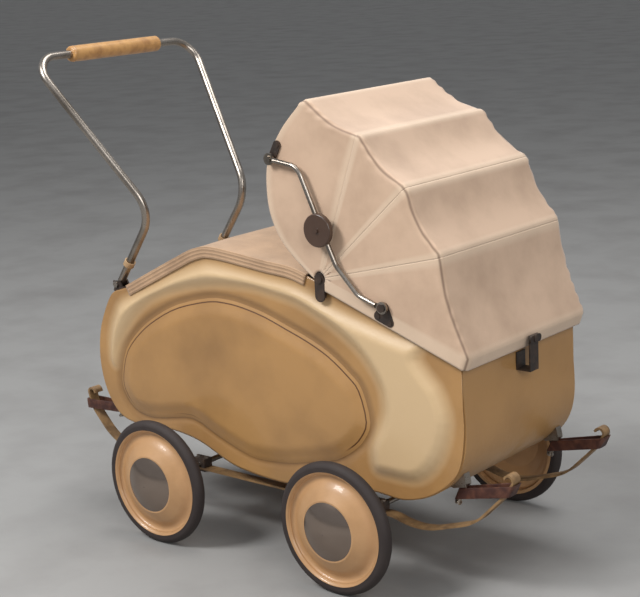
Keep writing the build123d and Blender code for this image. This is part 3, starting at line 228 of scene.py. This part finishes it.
def coach_paint(name, ground, relief_colour, mottle_and_shade, stripe_colour):
    """Hand-sprayed coach enamel: two tones that follow the moulding, painted shade round the pillow's edge
    and a fine line.
    """
    # one dark colour gives the random mottle and the painted shade round the pillow
    material = finish_of(name, ground, mottle_and_shade, 0.42, 0.08, 9.0, 0.10, coat=0.25, patch_mm=150.0, wear=0.45)
    tree = material.node_tree
    shader = tree.nodes["Principled BSDF"]
    under = shader.inputs["Base Color"].links[0].from_socket
    raised = node(tree, "ShaderNodeAttribute", {"attribute_name": "cream_depth"}).outputs["Fac"]
    pillow = node(tree, "ShaderNodeAttribute", {"attribute_name": "kidney_depth"}).outputs["Fac"]
    # the pale enamel fades in over 20 mm across the band's edge
    rim = node(tree, "ShaderNodeMapRange", values={"From Min": -11.0, "From Max": 9.0},
               links={"Value": raised})
    tones = blend_colours(tree, rim.outputs["Result"], under, relief_colour)
    # painted shade at the foot of the pillow: darkest just outside it, in the groove, and fading over 14 mm
    painted_shade_ramp = node(tree, "ShaderNodeMapRange",
                values={"From Min": -14.0, "From Max": 0.0, "To Min": 0.0, "To Max": 0.55},
                links={"Value": pillow})
    outside = node(tree, "ShaderNodeMath", {"operation": "LESS_THAN"}, {1: 0.0}, {0: pillow})
    shade = node(tree, "ShaderNodeMath", {"operation": "MULTIPLY"},
                 links={0: painted_shade_ramp.outputs["Result"], 1: outside.outputs["Value"]})
    shaded = blend_colours(tree, shade.outputs["Value"], tones, mottle_and_shade)
    # a brush line 1.8 mm wide, 5 mm in from the pillow's edge, left off its lowest part
    offset = node(tree, "ShaderNodeMath", {"operation": "SUBTRACT"}, {1: 5.0}, {0: pillow})
    spread = node(tree, "ShaderNodeMath", {"operation": "ABSOLUTE"}, links={0: offset.outputs["Value"]})
    near = node(tree, "ShaderNodeMath", {"operation": "LESS_THAN"}, {1: 0.9}, {0: spread.outputs["Value"]})
    lined_part = node(tree, "ShaderNodeAttribute", {"attribute_name": "line_share"}).outputs["Fac"]
    stroke = node(tree, "ShaderNodeMath", {"operation": "MULTIPLY"},
                  links={0: near.outputs["Value"], 1: lined_part})
    lined = blend_colours(tree, stroke.outputs["Value"], shaded, stripe_colour)
    tree.links.new(lined, shader.inputs["Base Color"])
    return material


def seamed_cloth(name, ground, worn, stitch_and_shade_colour, rubbed_colour):
    """Coated cloth with a dark stitching line and painted shade in the channel between its two pipings,
    rubbed pale along the bows.
    """
    material = finish_of(name, ground, worn, 0.62, 0.08, 1.6, 0.35, sheen=0.25, patch_mm=70.0, wear=0.5)
    tree = material.node_tree
    shader = tree.nodes["Principled BSDF"]
    under = shader.inputs["Base Color"].links[0].from_socket
    swing = node(tree, "ShaderNodeAttribute", {"attribute_name": "turn_share"}).outputs["Fac"]
    middle = node(tree, "ShaderNodeMath", {"operation": "SUBTRACT"}, {1: 0.5}, {0: swing})
    bow_near = node(tree, "ShaderNodeMath", {"operation": "ABSOLUTE"}, links={0: middle.outputs["Value"]})
    rub = node(tree, "ShaderNodeMapRange", values={"From Min": 0.43, "From Max": 0.5, "To Max": 0.45},
               links={"Value": bow_near.outputs["Value"]})
    rubbed = blend_colours(tree, rub.outputs["Result"], under, rubbed_colour)
    # the dark line between the pipings: stitching, with painted shade in the channel, full within 0.4 mm of
    # the seam and gone by 2.2 mm
    seam = node(tree, "ShaderNodeAttribute", {"attribute_name": "seam_mm"}).outputs["Fac"]
    from_seam = node(tree, "ShaderNodeMath", {"operation": "ABSOLUTE"}, links={0: seam})
    channel = node(tree, "ShaderNodeMapRange",
                   values={"From Min": 0.4, "From Max": 2.2, "To Min": 0.75, "To Max": 0.0},
                   links={"Value": from_seam.outputs["Value"]})
    stitched_and_shaded = blend_colours(tree, channel.outputs["Result"], rubbed, stitch_and_shade_colour)
    tree.links.new(stitched_and_shaded, shader.inputs["Base Color"])
    return material


# ------------------------------------------------------------------ helpers for pieces
def to_object(shape, name, material):
    """Put a finished bmesh into the scene at the origin."""
    mesh = bpy.data.meshes.new(name)
    bmesh.ops.recalc_face_normals(shape, faces=shape.faces)
    for face in shape.faces:
        face.smooth = True
    shape.to_mesh(mesh)
    shape.free()
    piece = bpy.data.objects.new(name, mesh)
    bpy.context.scene.collection.objects.link(piece)
    mesh.materials.append(material)
    return piece


def settle(piece):
    """Apply a piece's modifiers so that its mesh is final."""
    graph = bpy.context.evaluated_depsgraph_get()
    final = bpy.data.meshes.new_from_object(piece.evaluated_get(graph))
    piece.modifiers.clear()
    piece.data = final
    return piece


def thicken(piece, thickness):
    """Give a sheet its real thickness, inwards from its face."""
    wall = piece.modifiers.new("thickness", "SOLIDIFY")
    wall.thickness = thickness
    wall.offset = -1.0
    return piece


def paint_nodes(names, material):
    """Give CAD pieces their finish."""
    for name in names:
        slots = frame["nodes"][name].data.materials
        slots.clear()
        slots.append(material)


# ------------------------------------------------------------------ sizes and colours
class StrollerSizes(bpy.types.PropertyGroup):
    """Sizes that a user would change."""
    cloth_thickness: bpy.props.FloatProperty(
        name="Cloth thickness", description="Thickness of the hood's coated cloth", default=1.5 * MM,
        unit="LENGTH", subtype="DISTANCE")
    scallop: bpy.props.FloatProperty(
        name="Scallop", description="How far the hood cloth draws in between two bows", default=7.0 * MM,
        unit="LENGTH", subtype="DISTANCE")
    pillow_relief: bpy.props.FloatProperty(
        name="Pillow relief", description="How far the body's pillow moulding stands out", default=7.8 * MM,
        unit="LENGTH", subtype="DISTANCE")
    band_relief: bpy.props.FloatProperty(
        name="Band relief", description="How far the body's pale band stands out", default=8.8 * MM,
        unit="LENGTH", subtype="DISTANCE")


class StrollerColours(bpy.types.PropertyGroup):
    """Colours that a user would change."""
    body: bpy.props.StringProperty(name="Body", description="Body enamel, sRGB hex", default="A9804F")
    band: bpy.props.StringProperty(
        name="Band", description="Raised band's enamel, sRGB hex", default="C9AC84")
    hood: bpy.props.StringProperty(name="Hood", description="Hood cloth, sRGB hex", default="C4A68C")
    apron: bpy.props.StringProperty(name="Apron", description="Apron cloth, sRGB hex", default="AD8C6C")


# ------------------------------------------------------------------ operators
class STROLLER_OT_metalwork(bpy.types.Operator):
    """Plate, enamel and rubber on the running gear, handle and stays."""
    bl_idname = "stroller.metalwork"
    bl_label = "Metalwork, wheels and handle"

    def execute(self, context):
        wheels = [f"{end}_{side}" for end in ("front", "rear") for side in ("right", "left")]
        sides = ("right", "left")
        # brushed nickel over steel, dulled: a grey warm gloss broken by fine tarnish
        plate = finish_of("dulled_nickel_plate", "A89F95", "6E655B", 0.30, 0.12, 2.0, 0.12, metallic=1.0,
                          wear=0.8)
        # spun nickel: brighter, with patches of wear
        dome = finish_of("spun_nickel_cap", "9A8B80", "6A5B50", 0.20, 0.05, 1.2, 0.03, metallic=1.0,
                         patch_mm=60.0, wear=0.3)
        # stove enamel on pressed steel: soft gloss with faint mottling
        enamel = finish_of("wheel_stove_enamel", "B58C62", "8C6743", 0.40, 0.08, 6.0, 0.10, coat=0.2,
                           patch_mm=40.0)
        # brush paint over spring steel: rubbed through to brown in patches
        spring = finish_of("rubbed_spring_paint", "8A6C48", "3F2D1E", 0.58, 0.14, 4.0, 0.35, patch_mm=22.0,
                           wear=0.9)
        # vulcanised rubber, aged: dark, dry and dusty
        tyre = finish_of("aged_vulcanised_rubber", "2A211F", "433A35", 0.74, 0.08, 1.0, 0.40, patch_mm=60.0,
                         wear=0.3)
        # japanned iron: near-black brown with dull spots
        iron = finish_of("japanned_iron", "2A211C", "5A4332", 0.50, 0.14, 3.0, 0.30, patch_mm=14.0, wear=0.5)
        # enamelled joint disc: brown, slightly glossy
        brown = finish_of("brown_joint_enamel", "4B362A", "2C1F18", 0.38, 0.08, 3.0, 0.10, coat=0.3)
        # turned beech under worn varnish: grain runs along the grip
        grip = finish_of("varnished_beech", "C2935A", "6E4022", 0.34, 0.10, 2.0, 0.20, coat=0.35,
                         stretch=(1, 0.08, 1), patch_mm=16.0, wear=0.5)
        # planed deal board inside the body
        board = finish_of("planed_deal", "A07D56", "7B5B3B", 0.70, 0.08, 4.0, 0.25, stretch=(0.1, 1, 1))
        paint_nodes(["handle_tube", "axle_front", "axle_rear", "handle_bolts", "axle_nuts", "clamp_bolts",
                     "base_bow_rivets", "strap_brackets"], plate)
        paint_nodes([f"{part}_stay_{side}" for part in ("upper", "lower") for side in sides], plate)
        paint_nodes([f"hub_cap_{wheel}" for wheel in wheels], dome)
        paint_nodes([f"wheel_disc_{wheel}" for wheel in wheels], enamel)
        paint_nodes([f"tyre_{wheel}" for wheel in wheels], tyre)
        paint_nodes([f"chassis_spring_{side}" for side in sides], spring)
        paint_nodes(["handle_brackets", "axle_collars", "axle_clamps", "hood_pivot_plates",
                     "stay_foot_brackets", "stay_top_brackets", "catch_plate", "catch_button", "apron_bow",
                     "base_bow", "bow_2", "bow_3", "bow_4", "front_bow"], iron)
        paint_nodes([f"knuckle_disc_{side}" for side in sides], brown)
        paint_nodes(["handle_grip"], grip)
        paint_nodes(["floor_bearers", "floor_board"], board)
        return {"FINISHED"}


class STROLLER_OT_body(bpy.types.Operator):
    """Moulded side panels with the pillow and the pale band, and the painted wrap."""
    bl_idname = "stroller.body"
    bl_label = "Moulded body"

    def execute(self, context):
        sizes, colours = context.scene.stroller_sizes, context.scene.stroller_colours
        # sprayed enamel on moulded board: satin, two tones and a brown line, with painted shade round the
        # pillow's edge
        paint = coach_paint("coach_enamel", colours.body, colours.band, "5F4329", "5A3B22")
        wrap = finish_of("coach_enamel_wrap", colours.body, "7C5A38", 0.42, 0.08, 9.0, 0.10, coat=0.2,
                         patch_mm=120.0)
        paint_nodes(["body_wrap"], wrap)
        low = smooth_line([body_place(p) for p in UNDERSIDE], 8)
        top = smooth_line([body_place(p) for p in TOP_EDGE], 8)
        pillow = smooth_line([body_place(p) for p in KIDNEY], 3, closed=True)
        band = smooth_line([body_place(p) for p in CREAM], 3, closed=True)
        left = min(range(len(low)), key=lambda i: low[i].x)
        right = max(range(len(low)), key=lambda i: low[i].x)
        lower = low[left:right + 1]
        upper = (low[right:] + top + low[:left + 1])[::-1]

        def height_at(line, x):
            for first, second in zip(line, line[1:]):
                if min(first.x, second.x) <= x <= max(first.x, second.x) and first.x != second.x:
                    return first.y + (second.y - first.y) * (x - first.x) / (second.x - first.x)
            return line[0].y if x <= line[0].x else line[-1].y

        start, end = lower[0].x, lower[-1].x
        columns, rows = ((200, 96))
        for side, sign in (("right", -1), ("left", 1)):
            shape = bmesh.new()
            bmesh.ops.create_grid(shape, x_segments=columns, y_segments=rows, size=1.0)
            raised = shape.verts.layers.float.new("cream_depth")
            cushion = shape.verts.layers.float.new("kidney_depth")
            line_share = shape.verts.layers.float.new("line_share")
            for vert in shape.verts:
                x = (start + end) / 2 + (end - start) / 2 * math.sin(vert.co.x * math.pi / 2)
                floor, roof = height_at(lower, x), height_at(upper, x)
                z = floor + (roof - floor) * (vert.co.y + 1) / 2
                in_pillow = inside_depth(Vector((x, z)), pillow) / MM
                in_band = inside_depth(Vector((x, z)), band) / MM
                # the pillow rises quickly over its shoulder, then gently to its middle
                crown = ease(in_pillow / 26.0) * 0.75 + ease(in_pillow / 70.0) * 0.25
                groove = GROOVE_DEPTH * math.exp(-((in_pillow + 3.0) / 4.0) ** 2)
                rise = ease((in_band + 5.0) / 24.0)
                relief = sizes.pillow_relief * crown + sizes.band_relief * rise - groove
                vert[raised], vert[cushion] = in_band, in_pillow
                vert[line_share] = ease(((z - BODY_Z) / BODY_TALL - 0.20) / 0.04)
                vert.co = (x, sign * (FACE_Y + relief), z)
            bmesh.ops.remove_doubles(shape, verts=shape.verts, dist=0.02 * MM)
            piece = to_object(shape, f"moulded_side_{side}", paint)
            if piece.data.polygons[len(piece.data.polygons) // 2].normal.y * sign < 0:
                piece.data.flip_normals()
            settle(thicken(piece, PANEL_WALL))
            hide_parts(f"side_panel_{side}")
            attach(piece, "carriage")
        return {"FINISHED"}


class STROLLER_OT_hood(bpy.types.Operator):
    """Four curved gores of coated cloth, drawn in between the bows."""
    bl_idname = "stroller.hood"
    bl_label = "Hood cloth"

    def execute(self, context):
        sizes, colours = context.scene.stroller_sizes, context.scene.stroller_colours
        # coated cotton: fine leathery grain, soft sheen, paler where it rubs on the bows
        # 6F5643 is the stitching and the painted shade in the channel between the pipings
        cloth = seamed_cloth("coated_hood_cloth", colours.hood, "9C7F67", "6F5643", "D6C0A6")
        order = list(BOWS)
        edge = smooth_line([Vector(p) for p in FRONT_EDGE], 8)

        def front_angle(share):
            for first, second in zip(edge, edge[1:]):
                if first.length <= share <= second.length:
                    part = (share - first.length) / max(second.length - first.length, 1e-9)
                    here = first + (second - first) * part
                    return math.degrees(math.atan2(here.y, here.x)) % 360
            return math.degrees(math.atan2(edge[-1].y, edge[-1].x))

        def on_bow(reach, angle, aside):
            """A side-view place on a bow's outer face, counted from the pivot."""
            ray = math.radians(angle)
            run, rise = math.cos(ray), math.sin(ray)
            return Vector((reach * run - aside * rise, reach * rise + aside * run))

        lap, hem, corner, start = 4.5 * MM, 12.0 * MM, 8.0 * MM, 9.5 * MM
        for number in (1, 2, 3, 4):
            (reach_a, angle_a), (reach_b, angle_b) = BOWS[order[number - 1]], BOWS[order[number]]
            reach_a, reach_b = (reach_a + BOW_HALF) * MM, (reach_b + BOW_HALF) * MM
            upper_lap, lower_lap = 0.08, (0.80 if number == 4 else 0.92)
            lower_aside = -hem if number == 4 else 0.0
            first_place, last_place = on_bow(reach_a, angle_a, -lap), on_bow(reach_b, angle_b, lap)
            first_ray = math.atan2(first_place.y, first_place.x)
            last_ray = math.atan2(last_place.y, last_place.x)
            shape = bmesh.new()
            across, down = ((190, 36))
            bmesh.ops.create_grid(shape, x_segments=across, y_segments=down, size=1.0)
            turn = shape.verts.layers.float.new("turn_share")
            seam_layer = shape.verts.layers.float.new("seam_mm")
            for vert in shape.verts:
                along, between = (vert.co.x + 1) / 2, (vert.co.y + 1) / 2
                swing = min(max((between - upper_lap) / (lower_lap - upper_lap), 0.0), 1.0)
                place = first_place.lerp(last_place, swing)
                share = (math.atan2(place.y, place.x) - first_ray) / (last_ray - first_ray)
                reach = place.length - sizes.scallop * math.sin(math.pi * swing)
                side_run, arc = reach - corner - start, corner * math.pi / 2
                total = 2 * side_run + 2 * arc + 2 * (CLOTH_Y - corner)
                travelled = along * total
                mirrored = travelled > total / 2
                travelled = total - travelled if mirrored else travelled
                if travelled < side_run:
                    out, wide = start + travelled, CLOTH_Y
                elif travelled < side_run + arc:
                    bend = (travelled - side_run) / corner
                    out = reach - corner + corner * math.sin(bend)
                    wide = CLOTH_Y - corner + corner * math.cos(bend)
                else:
                    out, wide = reach, CLOTH_Y - corner - (travelled - side_run - arc)
                grip = max(out, 14.0 * MM)
                upper_angle = front_angle(out / reach) if number == 1 else angle_a
                if between < upper_lap:
                    angle = upper_angle - math.degrees(math.asin(lap * between / upper_lap / grip))
                elif between > lower_lap:
                    slide = (between - lower_lap) / (1 - lower_lap)
                    angle = angle_b + math.degrees(math.asin((lap + (lower_aside - lap) * slide) / grip))
                else:
                    from_angle = upper_angle - math.degrees(math.asin(lap / grip))
                    to_angle = angle_b + math.degrees(math.asin(lap / grip))
                    angle = from_angle + (to_angle - from_angle) * share
                # a double row of piping runs down the corner of the hood
                from_corner = (travelled - side_run - arc / 2) / MM
                piping = sum(math.exp(-((from_corner - row) / PIPING_WIDTH) ** 2) for row in PIPING_ROWS)
                lift = PIPING_HEIGHT * piping
                vert[turn] = swing
                vert[seam_layer] = from_corner
                ray = math.radians(angle)
                out += lift if wide < CLOTH_Y else 0
                wide += lift if wide > CLOTH_Y - corner else 0
                side = 1 if mirrored else -1
                vert.co = (PIVOT.x + out * math.cos(ray), side * wide, PIVOT.z + out * math.sin(ray))
            piece = to_object(shape, f"hood_cloth_{number}", cloth)
            middle = piece.data.polygons[len(piece.data.polygons) // 2]
            if (middle.center - PIVOT).dot(middle.normal) < 0:
                piece.data.flip_normals()
            settle(thicken(piece, sizes.cloth_thickness))
            shares = [0.0] * len(piece.data.vertices)
            piece.data.attributes["turn_share"].data.foreach_get("value", shares)
            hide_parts(f"hood_gore_{number}")
            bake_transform(piece)
        return {"FINISHED"}


class STROLLER_OT_apron(bpy.types.Operator):
    """The coated cloth apron over the foot of the body, with its side hems."""
    bl_idname = "stroller.apron"
    bl_label = "Apron"

    def execute(self, context):
        colours = context.scene.stroller_colours
        # coated cotton, browner than the hood and rubbed in patches
        cloth = finish_of("coated_apron_cloth", colours.apron, "7D6148", 0.60, 0.08, 1.6, 0.35, sheen=0.2,
                          patch_mm=55.0, wear=0.55)
        low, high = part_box("apron")
        edge = smooth_line([body_place(p) for p in TOP_EDGE], 10)
        top = [p for p in edge if low.x + 2 * MM < p.x < high.x - 2 * MM]
        runs = [0.0]
        for first, second in zip(top, top[1:]):
            runs.append(runs[-1] + (second - first).length)
        hem, wide = APRON_HEM, APRON_HALF_WIDTH
        shape = bmesh.new()
        across, down = ((132, 120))
        bmesh.ops.create_grid(shape, x_segments=across, y_segments=down, size=1.0)
        for vert in shape.verts:
            along = (vert.co.y + 1) / 2 * runs[-1]
            place = next((i for i in range(1, len(runs)) if runs[i] >= along - 1e-9), len(runs) - 1)
            part = (along - runs[place - 1]) / (runs[place] - runs[place - 1])
            here = top[place - 1] + (top[place] - top[place - 1]) * part
            heading = (top[place] - top[place - 1]).normalized()
            outwards = Vector((heading.y, -heading.x))
            if outwards.y < 0:
                outwards = -outwards
            sign = -1 if vert.co.x < 0 else 1
            part_in = 1 - abs(vert.co.x)
            # a third of the columns lie in the hem, where the piping is
            distance = hem * part_in * 3 if part_in < 1 / 3 else hem + (part_in - 1 / 3) * 1.5 * wide
            drop = max(hem - distance, 0)
            inner = max(distance - hem, 0)
            share = inner / wide
            crown = 2.0 * MM * ease(share * 1.5) + 0.5 * MM * math.sin(along * 60) * ease(share * 3)
            lift = 2.3 * MM + crown - drop
            ridges = sum(math.exp(-((distance / MM - row) / 0.9) ** 2) for row in APRON_PIPING_ROWS)
            piping = 0.8 * MM * ridges
            vert.co = (here.x + outwards.x * lift, sign * (wide - inner + piping), here.y + outwards.y * lift)
        piece = to_object(shape, "apron_cloth", cloth)
        middle = max(piece.data.polygons, key=lambda face: face.center.z)
        if middle.normal.z < 0:
            piece.data.flip_normals()
        settle(thicken(piece, APRON_CLOTH))
        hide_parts("apron")
        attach(piece, "carriage")
        return {"FINISHED"}


class STROLLER_OT_leather(bpy.types.Operator):
    """Leather suspension straps and the loops that hold the apron to the handle."""
    bl_idname = "stroller.leather"
    bl_label = "Leather straps and loops"

    def execute(self, context):
        # bridle leather, dried out: red-brown, creased grain, paler scuffed patches
        hide = finish_of("dried_bridle_leather", "3A1C15", "6B4230", 0.55, 0.12, 1.8, 0.55, patch_mm=12.0,
                         wear=0.7)
        pale = finish_of("pale_loop_leather", "A98A66", "7C6144", 0.62, 0.10, 1.8, 0.45, patch_mm=10.0,
                         wear=0.5)
        straps = [f"strap_{end}_{side}" for end in ("front", "rear") for side in ("right", "left")]
        for name, material in [(strap, hide) for strap in straps] + [("apron_loops", pale)]:
            shape = bmesh.new()
            shape.from_mesh(frame["nodes"][name].data)
            bmesh.ops.remove_doubles(shape, verts=shape.verts, dist=0.01 * MM)
            bmesh.ops.dissolve_limit(shape, angle_limit=math.radians(4), verts=shape.verts, edges=shape.edges)
            rims = [edge for edge in shape.edges if len(edge.link_faces) == 2
                    and edge.calc_face_angle(0) > math.radians(60)]
            bmesh.ops.bevel(shape, geom=rims, offset=0.5 * MM, segments=3, profile=0.5, affect="EDGES",
                            material=-1)
            piece = to_object(shape, f"{name}_hide", material)
            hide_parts(name)
            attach(piece, "carriage")
        return {"FINISHED"}


class STROLLER_OT_stage(bpy.types.Operator):
    """Grey floor, soft lights and the camera."""
    bl_idname = "stroller.stage"
    bl_label = "Stage"

    def execute(self, context):
        scene = context.scene
        floor = finish_of("worn_concrete_floor", "908F8D", "7B7977", 0.80, 0.06, 6.0, 0.06, patch_mm=180.0,
                          wear=0.6)
        shape = bmesh.new()
        bmesh.ops.create_grid(shape, x_segments=2, y_segments=2, size=30.0)
        ground = to_object(shape, "floor", floor)
        scene.world = bpy.data.worlds.new("soft_room")
        scene.world.use_nodes = True
        scene.world.node_tree.nodes["Background"].inputs["Color"].default_value = linear("CDCFD2")
        scene.world.node_tree.nodes["Background"].inputs["Strength"].default_value = 0.55
        # each light's name, place in metres, power in watts and size in metres
        for name, place, power, size in (("key", (-0.9, -2.0, 2.4), 78, 0.9),
                                         ("fill", (2.2, -1.4, 1.4), 30, 1.4),
                                         ("top", (0.2, 0.6, 2.8), 44, 1.6)):
            light = bpy.data.lights.new(name, "AREA")
            light.energy, light.size = power, size
            lamp = bpy.data.objects.new(name, light)
            lamp.location = place
            lamp.rotation_euler = (Vector((0, 0, 0.3)) - Vector(place)).to_track_quat("-Z", "Y").to_euler()
            scene.collection.objects.link(lamp)
        turn, tilt, roll = math.radians(40.43), math.radians(13.35), math.radians(-2.82)
        right = Vector((math.cos(turn), math.sin(turn), 0))
        ahead = Vector((-math.sin(turn) * math.cos(tilt), math.cos(turn) * math.cos(tilt), -math.sin(tilt)))
        above = right.cross(ahead)
        level = right * math.cos(roll) + above * math.sin(roll)
        raised = above * math.cos(roll) - right * math.sin(roll)
        lens = bpy.data.cameras.new("camera")
        lens.sensor_width = SENSOR_WIDTH
        lens.lens = FOCAL_LENGTH
        camera = bpy.data.objects.new("camera", lens)
        camera.matrix_world = Matrix.Translation(Vector((1.420 + 0.0155, -1.686, 0.857))) @ Matrix(
            (level, raised, -ahead)).transposed().to_4x4()
        scene.collection.objects.link(camera)
        scene.camera = camera
        scene.view_settings.view_transform = "Standard"
        return {"FINISHED"}


class STROLLER_PT_panel(bpy.types.Panel):
    """Buttons for the stroller's steps, with its sizes and colours."""
    bl_label = "Doll stroller"
    bl_idname = "STROLLER_PT_panel"
    bl_space_type = "VIEW_3D"
    bl_region_type = "UI"
    bl_category = "Stroller"

    def draw(self, context):
        for operator in OPERATORS:
            self.layout.operator(operator.bl_idname)
        for group in (context.scene.stroller_sizes, context.scene.stroller_colours):
            for name in group.__annotations__:
                self.layout.prop(group, name)


OPERATORS = [STROLLER_OT_metalwork, STROLLER_OT_body, STROLLER_OT_hood, STROLLER_OT_apron,
             STROLLER_OT_leather, STROLLER_OT_stage]
CLASSES = [StrollerSizes, StrollerColours, *OPERATORS, STROLLER_PT_panel]


def register():
    for made in CLASSES:
        bpy.utils.register_class(made)
    bpy.types.Scene.stroller_sizes = bpy.props.PointerProperty(type=StrollerSizes)
    bpy.types.Scene.stroller_colours = bpy.props.PointerProperty(type=StrollerColours)


def unregister():
    del bpy.types.Scene.stroller_sizes
    del bpy.types.Scene.stroller_colours
    for made in reversed(CLASSES):
        bpy.utils.unregister_class(made)


def main():
    register()
    bpy.ops.stroller.metalwork()
    bpy.ops.stroller.body()
    bpy.ops.stroller.hood()
    bpy.ops.stroller.apron()
    bpy.ops.stroller.leather()
    bpy.ops.stroller.stage()


if __name__ == "__main__":
    main()
